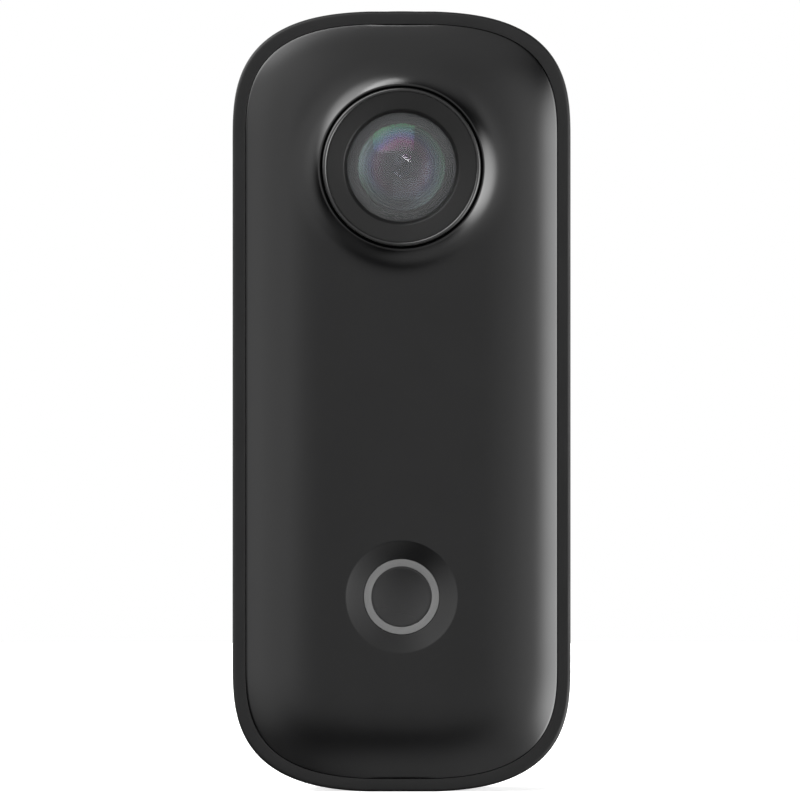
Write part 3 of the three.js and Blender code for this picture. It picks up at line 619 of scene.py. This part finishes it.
def make_panel():
    skin = Skin()
    on_face = lambda p: (p[0], panel_y(p[0], p[1]), p[1])
    edge = skin.ring([on_face(p) for p in outline(PANEL_INSET + 0.03)])
    lens = skin.ring([on_face(p) for p in circle(COLLAR_RIM, 0, LENS_Z, 192)])
    button = skin.ring([on_face(p) for p in circle(DISH_HOLE, 0, SHUTTER_Z, 96)])
    spots = []
    for run in (0.15, 0.3, 0.5, 0.75, 1.05, 1.4, 1.8, 2.25, 2.75, 3.3, 3.9, 4.55):
        spots += [p for p in outline(PANEL_INSET + run, 48, 48) if math.hypot(p[0], p[1] - LENS_Z) > 9.4]
    for r in (6.38, 6.45, 6.55, 6.67, 6.8, 6.95, 7.12, 7.3, 7.5, 7.72, 7.96, 8.22, 8.5, 8.8, 9.15):
        spots += [p for p in circle(r, 0, LENS_Z, 192) if edge_run(*p) > 0.2]
    for r in (3.3, 3.65, 3.95, 4.15, 4.22, 4.27, 4.32, 4.38, 4.5, 4.8):
        spots += list(circle(r, 0, SHUTTER_Z, 96))
    step = 0.5
    for i in range(48):
        for k in range(116):
            p = (-12 + (i + 0.5) * step, 1 + (k + 0.5) * step)
            if (edge_run(*p) > 4.8 and math.hypot(p[0], p[1] - LENS_Z) > 9.5
                    and math.hypot(p[0], p[1] - SHUTTER_Z) > 5.1):
                spots.append(p)
    clear = lambda lens_r, dish_r: lambda x, z: (math.hypot(x, z - LENS_Z) > lens_r
                                                 and math.hypot(x, z - SHUTTER_Z) > dish_r)
    front = lambda p: (p[0], p[2])
    skin.fill(front, [edge, lens, button], clear(COLLAR_RIM, DISH_HOLE),
              [(tuple(p), on_face(p)) for p in spots])

    ring = lambda points, y: skin.ring([(x, y, z) for x, z in points])
    sides = [edge, ring(outline(PANEL_INSET + 0.008), PANEL_EDGE + 0.01),
             ring(outline(PANEL_INSET), PANEL_EDGE + 0.04), ring(outline(PANEL_INSET), PANEL_BACK)]
    skin.bridge(*sides)
    crest = panel_y(COLLAR_RIM, LENS_Z)
    bore = [lens] + [ring(circle(r, 0, LENS_Z, 192), y) for r, y in (
        (6.26, crest + 0.01), (6.21, crest + 0.04), (COLLAR_HOLE, crest + 0.09),
        (COLLAR_HOLE, SEAL_SEAT_FRONT), (SEAL_SEAT, SEAL_SEAT_FRONT), (SEAL_SEAT, PANEL_BACK))]
    skin.bridge(*bore)
    hole = [button, ring(circle(DISH_HOLE, 0, SHUTTER_Z, 96), PANEL_BACK)]
    skin.bridge(*hole)
    skin.fill(front, [sides[-1], bore[-1], hole[-1]], clear(SEAL_SEAT, DISH_HOLE))
    piece(skin.object("panel"), "camera", M["panel"], ["front_panel"], smooth=40,
          weighted=False)


# ------------------------------------------------------------------ lens
def turned(name, body, mat, node, profile, z=LENS_Z, radius=0.02, steps=128, smooth=32, corner_steps=3):
    if profile[0][0] > 0 and radius:
        profile = round_profile(profile, radius, corner_steps)
    obj = lathe(name, profile, z, steps)
    return piece(obj, body, mat, [node] if node else (), smooth=smooth, weighted=False)


def other_look(obj, mat, chosen):
    """Gives another material to the faces whose centre (radius from the lens axis, y) is chosen."""
    obj.data.materials.append(mat)
    for face in obj.data.polygons:
        x, y, z = face.center / MM
        if chosen(math.hypot(x, z - LENS_Z), y):
            face.material_index = len(obj.data.materials) - 1


def lens_surface(r0, r1, y_centre, sag, steps=24):
    """(radius, y) points along a spherical surface that moves by sag from the axis out to radius r1."""
    points = []
    for i in range(steps + 1):
        r = r0 + (r1 - r0) * i / steps
        points.append((r, y_centre + sag * (r / r1) ** 2))
    return points


def make_lens():
    bead_middle = BEZEL_RADIUS - BEAD_RADIUS
    bead = [(bead_middle - BEAD_RADIUS * math.cos(t), BEAD_Y - BEAD_RADIUS * math.sin(t), 0)
            for t in (math.pi * i / 12 for i in range(13))]
    bezel = turned("bezel", "camera", M["bezel"], "lens_bezel", [
        (GLASS_RADIUS, -8.73, 0.02), (4.42, -9.16, 0.2), (5.66, BEAD_Y, 0.02)] + bead + [
        (BEZEL_RADIUS, -6.24, 0), (7.2, -6.24, 0), (7.2, -5.6, 0), (4.95, -5.6, 0), (4.95, -8.5, 0),
        (GLASS_RADIUS, -8.6, 0)],
        steps=192, corner_steps=8)
    other_look(bezel, M["bead"], lambda r, y: 5.75 < r < 6.1 and y < -9.0)
    seal = [(6.65 + 0.28 * math.cos(t), -6.6 + 0.28 * math.sin(t))
            for t in (2 * math.pi * i / 16 for i in range(16))]
    turned("seal_ring", "camera", M["rubber"], "lens_seal_ring", seal, radius=0)
    glass = M["glass"]
    front = lens_surface(0, GLASS_RADIUS, FRONT_POLE, FRONT_SAG)
    front += [(4.7, -8.38), (4.7, FRONT_FLANGE), (3.4, FRONT_FLANGE)]
    front += lens_surface(0, HOLLOW_RADIUS, HOLLOW_POLE, HOLLOW_SAG)[::-1]
    dome = turned("front_glass", "camera", M["hazy_glass"], "front_element", front, radius=0,
                  steps=160)
    other_look(dome, M["tinted_glass"], lambda r, y: r < HOLLOW_RADIUS
               and y > HOLLOW_POLE - 0.1 + HOLLOW_SAG * (r / HOLLOW_RADIUS) ** 2)
    other_look(dome, M["ink"], lambda r, y: r > GLASS_RADIUS or (r > HOLLOW_RADIUS and y > -8.0))
    second = lens_surface(0, 3.4, -7.1, -0.4) + lens_surface(0, 3.4, -6.75, 0.45)[::-1]
    turned("second_glass", "camera", glass, "second_element", second, radius=0)
    third = lens_surface(0, 2.7, -4.75, 0.55) + lens_surface(0, 2.7, -3.1, -0.4)[::-1]
    turned("third_glass", "camera", glass, "third_element", third, radius=0)
    rear = lens_surface(0, 2.7, -2.8, 0.25) + lens_surface(0, 2.7, -1.85, 0.35)[::-1]
    turned("rear_glass", "camera", glass, "rear_element", rear, radius=0)
    turned("barrel", "camera", M["barrel"], "lens_barrel", [
        (3.5, -7.62), (4.85, -7.62), (4.85, -5.1), (4, -5.1), (4, -1), (2.2, -1), (2.2, -1.4), (2.75, -1.4),
        (2.75, -5.2), (2.9, -5.3), (2.9, -5.6), (3.1, -5.7), (3.1, -5.95), (3.3, -6.05), (3.3, -6.25),
        (3.5, -6.3)])
    turned("stop", "camera", M["barrel"], "aperture_stop", [
        (0.9, -5.45), (2.7, -5.15), (2.7, -4.95), (0.9, -5.25)])


# ------------------------------------------------------------------ buttons
def make_shutter():
    z = SHUTTER_Z
    face = lambda r: PANEL_FACE + dish(r)
    cap = RING_INNER - 0.02
    stop, flange = SHUTTER_STOP, RING_FLANGE
    steps = [(cap * i / 12, face(cap * i / 12)) for i in range(12)]
    turned("shutter_key", "shutter", M["button"], "shutter_cap",
           steps + [(cap - 0.03, face(cap - 0.03)), (cap - 0.008, face(cap) + 0.008), (cap, face(cap) + 0.03),
                    (cap, stop), (0, stop)], z, steps=96)
    turned("light_guide", "shutter", M["ring"], "shutter_light_ring", [
        (RING_INNER, face(RING_INNER), 0.02), (RING_OUTER, face(RING_OUTER), 0.02), (RING_OUTER, -6.25),
        (flange, -6.25), (flange, stop), (RING_INNER, stop)], z, steps=128)
    turned("shutter_base", "shutter", M["barrel"], "shutter_carrier", [
        (0, stop + 0.02), (flange, stop + 0.02), (flange, -5.15), (0.9, -5.15), (0.9, -4.66), (0, -4.66)], z)
    turned("shutter_pin", "shutter", M["white"], "shutter_plunger", [
        (0, -4.64), (0.8, -4.64), (0.8, -4.03), (0.72, -3.95), (0, -3.95)], z, steps=48)
    turned("button_seal", "camera", M["rubber"], "shutter_seal", [
        (3.72, -6.26), (4.5, -6.26), (4.5, -5.5), (3.72, -5.5)], z, radius=0.12)


def make_mode():
    top = HEIGHT + MODE_RISE
    cap = prism("mode_key", pill(MODE_WIDTH, MODE_LENGTH, MODE_Y), 58.5, top, "z", 0.1, 5)
    boolean(cap, prism("tool", pill(MODE_WIDTH + 1.4, MODE_LENGTH + 1.4, MODE_Y), 58.1, 58.76, "z"), "UNION")
    boolean(cap, prism("tool", circle(0.8, 0, MODE_Y, 32), 57.3, 58.3, "z"), "UNION")
    piece(cap, "mode_button", M["case"], ["mode_cap"])


# ------------------------------------------------------------------ port and memory card
def make_port():
    def sleeve(grow):
        half, reach = PORT_HALF_HEIGHT + grow, PORT_HALF_WIDTH + grow
        return rounded_rectangle(-reach, reach, PORT_Z - half, PORT_Z + half, half - 0.01)

    skin = Skin()
    rings = []
    for y, grow in round_profile([(-2.38, 0), (BAY_FLOOR, 0), (BAY_FLOOR, -0.3), (-1.6, -0.3)], 0.06, 3):
        rings.append(skin.ring([(x, y, z) for x, z in sleeve(grow)]))
    skin.bridge(*rings)
    skin.faces.append(tuple(rings[0]))
    skin.faces.append(tuple(rings[-1]))
    piece(skin.object("port_sleeve"), "camera", M["steel"], ["charge_port_shell"])
    loop = rounded_rectangle(-3.35, 3.35, PORT_Z - TONGUE_HALF, PORT_Z + TONGUE_HALF, 0.1)
    tongue = prism("port_tongue", loop, -1.55, 2.85, "y", 0.08)
    piece(tongue, "camera", M["chip"], ["charge_port_tongue"])
    for side in (-1, 1):
        z = PORT_Z + side * TONGUE_HALF
        for i in range(CONTACTS):
            x = CONTACTS_START + i * CONTACT_PITCH
            contact = cuboid("contact_%s_%d" % ("low" if side < 0 else "high", i + 1), x - 0.13, x + 0.13,
                             0.2, 2.6, z - 0.03, z + 0.03, 0.02)
            piece(contact, "camera", M["gold"])


def make_card():
    edge = [(-5.5, 24.2), (5.5, 24.2), (5.5, 30.6), (4.9, 31.2), (4.9, 32.6), (5.3, 33.0), (4.6, 33.7),
            (4.6, 39.2), (-5.5, 39.2)]
    loop = np.array(round_profile([(x, z, 0.5) for x, z in edge], 0.5, 4))
    card = prism("card", loop, CARD_FRONT, CARD_BACK, "y", 0.06)
    boolean(card, prism("tool", rounded_rectangle(-4.6, 4.6, 24.45, 24.85, 0.18), 5.3, 5.6), "DIFFERENCE")
    piece(card, "card", M["chip"], ["memory_card"])


CAD_LOOKS = {
    "steel": ["case_screw_1", "case_screw_2", "case_screw_3", "case_screw_4", "magnet_lower", "magnet_upper",
              "shutter_switch", "mode_switch", "board_screw_left", "board_screw_right", "wireless_shield",
              "microphone", "card_slot"],
    "rubber": ["panel_gasket", "case_gasket", "battery_pad", "battery_lead_black"],
    "board": ["sensor_board", "mode_board", "main_board", "port_board"],
    "chip": ["image_sensor", "processor_chip", "memory_chip", "power_inductor", "speaker"],
    "white": ["ring_led_left", "ring_led_right", "mode_plunger", "battery_connector"],
    "flex": ["sensor_flex", "wireless_antenna"],
    "foil": ["battery"],
    "red": ["battery_lead_red"],
    "barrel": ["lens_holder"],
    "glass": ["ir_filter"],
}


def dress_cad():
    for look, names in CAD_LOOKS.items():
        for name in names:
            obj = bpy.data.objects[name]
            for slot in obj.material_slots:
                slot.material = M[look]


make_case()
make_cover()
make_door()
make_plate()
make_panel()
make_lens()
make_shutter()
make_mode()
make_port()
make_card()
dress_cad()


# ------------------------------------------------------------------ stage, light and camera
def make_stage():
    skin = Skin()
    radii = [20, 60, 150, 300, 450, 600]
    rings = [skin.ring([(x, y, 0) for x, y in circle(r)]) for r in radii]
    skin.bridge(*rings)
    skin.fan(rings[0], (0, 0, 0))
    floor = skin.object("floor")
    floor.data.shade_smooth()
    mat = shader("floor_pale", (0.85, 0.85, 0.85), 0.9, emission_color=(1, 1, 1, 1), emission_strength=0.72)
    floor.data.materials.append(mat)
    floor.visible_glossy = floor.visible_transmission = False


def softbox(name, position, size, brightness, target=(0, 0, 30), only=None, shape="RECTANGLE", roll=0):
    """A light of an even brightness, aimed at a point. size is its width and height, roll turns it about
    its own axis, and only names the one piece that it lights."""
    data = bpy.data.lights.new(name, "AREA")
    data.shape = shape
    data.size, data.size_y = size[0] * MM, size[1] * MM
    data.energy = brightness * math.pi * data.size * data.size_y
    obj = bpy.data.objects.new(name, data)
    obj.location = Vector(position) * MM
    aim = (Vector(target) * MM - obj.location).to_track_quat("-Z", "Y")
    obj.rotation_euler = (aim @ Quaternion((0, 0, 1), math.radians(roll))).to_euler()
    obj.visible_camera = False
    bpy.context.scene.collection.objects.link(obj)
    if only:
        lit = bpy.data.collections.new(name + "_lights")
        lit.objects.link(bpy.data.objects[only])
        obj.light_linking.receiver_collection = lit


def make_lights():
    lens = (0, -9, LENS_Z)
    softbox("upper_left", (-75, -205, 372), (150, 80), 9)
    softbox("lens_window", (-51, -890, 270), (270, 200), 3, lens, "front_glass")
    softbox("lens_glint", (36, -900, 131), (85, 24), 14, lens, "front_glass", "ELLIPSE", -35)


# The studio's soft lights, as glows in the sky: degrees off the lens axis, degrees round it from the
# camera's right towards its top, half width in degrees, and brightness.
GLOWS = {
    "front": (4, 170, 16, 0.46),
    "right": (55, -9, 30, 10.5),
    "right_near": (22, -4, 24, 1.3),
    "right_edge": (27, -4, 16, 0.4),
    "right_low": (46, -28, 24, 1.2),
    "left_high": (44, 158, 24, 0.5),
    "upper_left": (58, 126, 28, 7),
    "left": (30, 164, 32, 1.55),
    "top": (34, 84, 33, 0.95),
    "bottom": (40, -70, 27, 0.9),
    "bottom_left": (42, -130, 24, 0.3),
    "side_left": (80, 150, 36, 6),
    "side_right": (78, -25, 30, 5),
    "back_left": (128, 150, 40, 3.5),
    "back_right": (118, 10, 36, 4.0),
    "back": (150, 80, 45, 1.4),
}


AMBIENT = 0.03             # the light that comes from everywhere


def make_world():
    """White to the camera, and the studio's glows to everything else."""
    world = bpy.data.worlds.new("studio")
    bpy.context.scene.world = world
    world.use_nodes = True
    tree = world.node_tree
    tree.nodes.clear()
    link = tree.links.new

    def new(kind, inputs=None, **settings):
        node = tree.nodes.new("ShaderNode" + kind)
        for key, value in settings.items():
            setattr(node, key, value)
        for key, value in (inputs or {}).items():
            if isinstance(value, bpy.types.NodeSocket):
                link(value, node.inputs[key])
            else:
                node.inputs[key].default_value = value
        return node

    direction = new("TexCoord").outputs["Generated"]
    total = None
    for off_axis, clock, half_width, brightness in GLOWS.values():
        t, c = math.radians(off_axis), math.radians(clock)
        axis = (math.sin(t) * math.cos(c), -math.cos(t), math.sin(t) * math.sin(c))
        facing = new("VectorMath", {0: direction, 1: axis}, operation="DOT_PRODUCT").outputs["Value"]
        glow = new("MapRange", {"Value": facing, "From Min": math.cos(math.radians(half_width)),
                                "From Max": 1.0, "To Max": brightness},
                   interpolation_type="SMOOTHSTEP").outputs["Result"]
        total = glow if total is None else new("Math", {0: total, 1: glow}, operation="ADD").outputs[0]
    studio = new("Background", {"Strength": new("Math", {0: total, 1: AMBIENT}, operation="ADD").outputs[0]})
    pale = new("Background", {"Color": (1, 1, 1, 1), "Strength": 1.0})
    seen = new("LightPath").outputs["Is Camera Ray"]
    mixed = new("MixShader", {0: seen, 1: studio.outputs[0], 2: pale.outputs[0]})
    new("OutputWorld", {"Surface": mixed.outputs[0]})


def make_camera():
    data = bpy.data.cameras.new("view")
    data.sensor_width = 36
    distance = 1000.0
    framed = 61.51                         # width in view at the rim's front
    middle_x, middle_z = -0.12, 30.115     # the middle of the picture
    data.lens = data.sensor_width * (distance + RIM_FRONT) / framed
    data.clip_start, data.clip_end = 0.05, 10
    cam = bpy.data.objects.new("view", data)
    cam.location = Vector((middle_x, -distance, middle_z)) * MM
    cam.rotation_euler = (math.radians(90), 0, 0)
    bpy.context.scene.collection.objects.link(cam)
    bpy.context.scene.camera = cam


make_stage()
make_lights()
make_world()
make_camera()
bpy.context.scene.view_settings.view_transform = "Standard"
